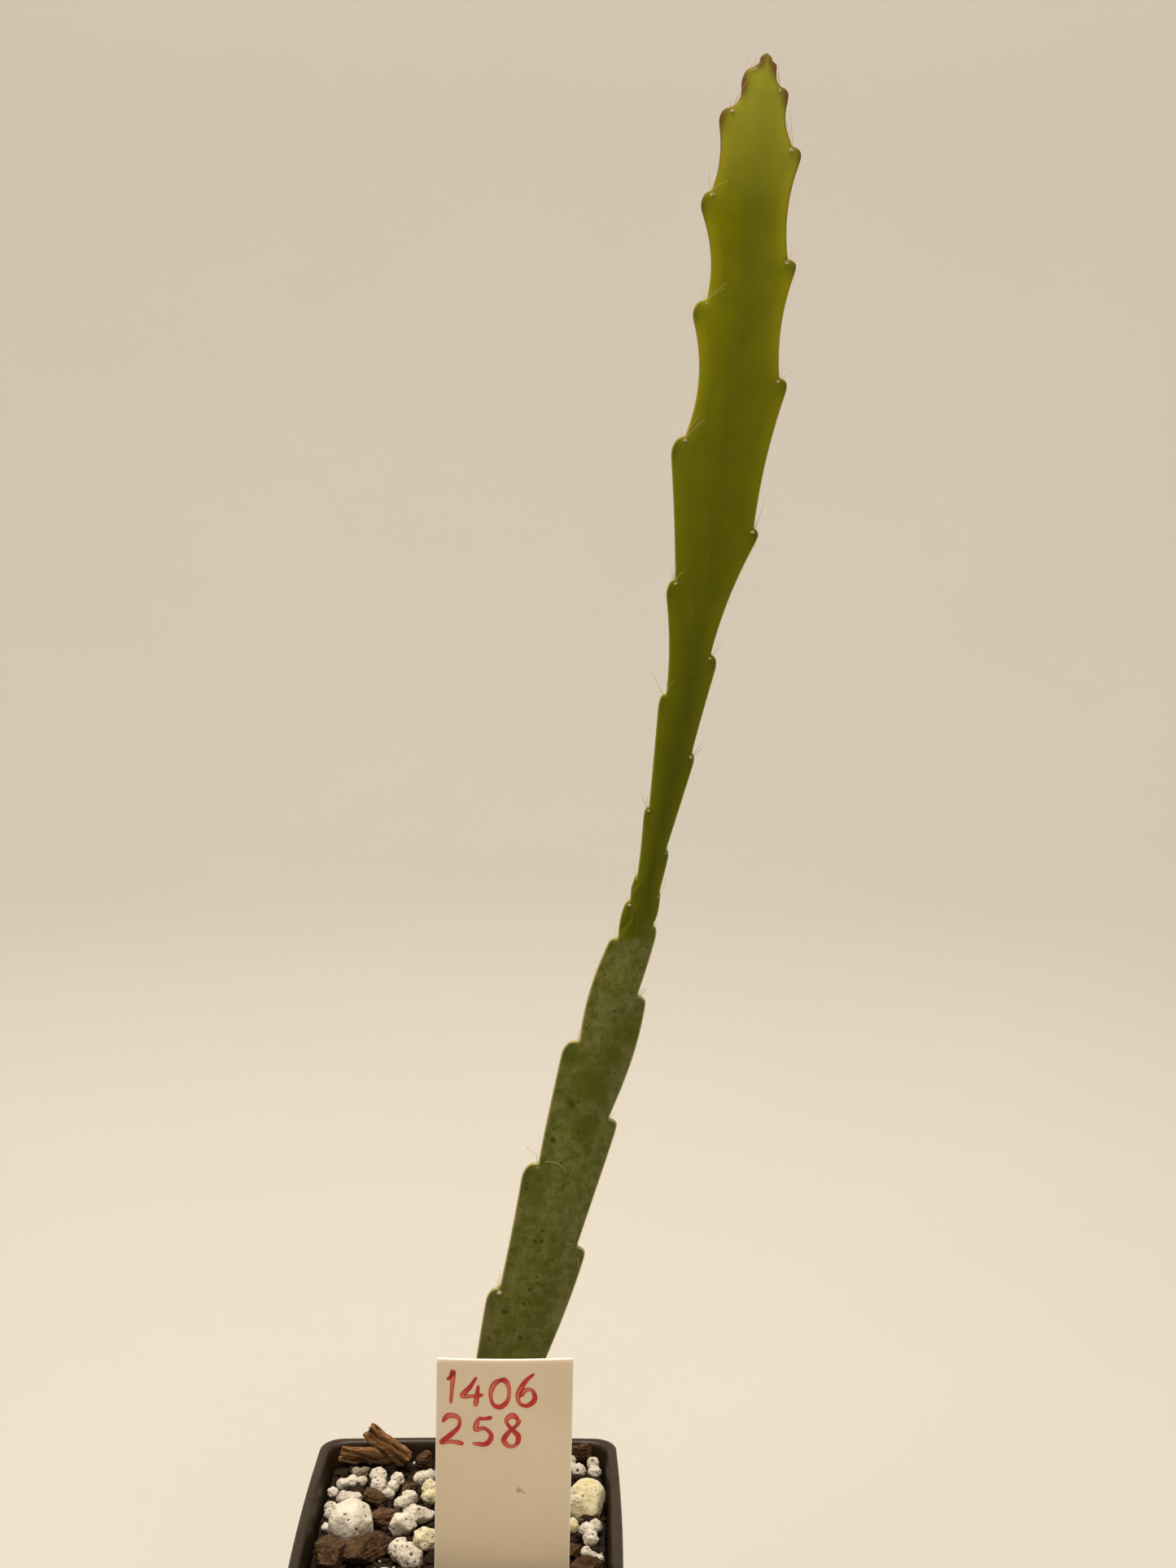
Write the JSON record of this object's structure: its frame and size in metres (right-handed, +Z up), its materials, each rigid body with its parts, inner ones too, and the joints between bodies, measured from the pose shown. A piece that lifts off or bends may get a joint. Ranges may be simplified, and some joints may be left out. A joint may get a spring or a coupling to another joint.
{
  "type": "orchid cactus in a square pot",
  "caption": "Young orchid cactus cutting: a leaning flat stem with scalloped edges and a narrow waist, in a small square nursery pot with bark, perlite and a plain label.",
  "frame": {"origin": "centre of the pot's flat underside", "axes": "+Z up through the pot, +X to the side that the stem leans to, -Y the side of the pot that the label stands on"},
  "size_m": [0.0972, 0.065, 0.3422],
  "materials": {
    "pot_plastic": "dark satin moulded plastic",
    "mix": "damp bark-based potting mix",
    "stem_skin": "waxy living stem, grey-green below and yellow-green above",
    "label_plastic": "white matte strip",
    "perlite_white": "rough white expanded mineral",
    "bark_brown": "rough, split, fibrous bark"
  },
  "bodies": {
    "root": {"bark_01": "bark_brown", "bark_02": "bark_brown", "bark_03": "bark_brown", "bark_04": "bark_brown", "bark_05": "bark_brown", "bark_06": "bark_brown", "bark_07": "bark_brown", "bark_08": "bark_brown", "bark_09": "bark_brown", "bark_10": "bark_brown", "bark_11": "bark_brown", "bark_12": "bark_brown", "bark_13": "bark_brown", "bark_14": "bark_brown", "bark_strip_1": "bark_brown", "bark_strip_2": "bark_brown", "label": "label_plastic", "perlite_01": "perlite_white", "perlite_02": "perlite_white", "perlite_03": "perlite_white", "perlite_04": "perlite_white", "perlite_05": "perlite_white", "perlite_06": "perlite_white", "perlite_07": "perlite_white", "perlite_08": "perlite_white", "perlite_09": "perlite_white", "perlite_10": "perlite_white", "perlite_11": "perlite_white", "perlite_12": "perlite_white", "perlite_13": "perlite_white", "perlite_14": "perlite_white", "perlite_15": "perlite_white", "perlite_16": "perlite_white", "perlite_17": "perlite_white", "perlite_18": "perlite_white", "perlite_19": "perlite_white", "perlite_20": "perlite_white", "perlite_21": "perlite_white", "perlite_22": "perlite_white", "perlite_23": "perlite_white", "perlite_24": "perlite_white", "perlite_25": "perlite_white", "perlite_26": "perlite_white", "perlite_27": "perlite_white", "perlite_28": "perlite_white", "perlite_29": "perlite_white", "perlite_30": "perlite_white", "perlite_31": "perlite_white", "pot": "pot_plastic", "potting_mix": "mix", "stem": "stem_skin"}
  },
  "joints": []
}
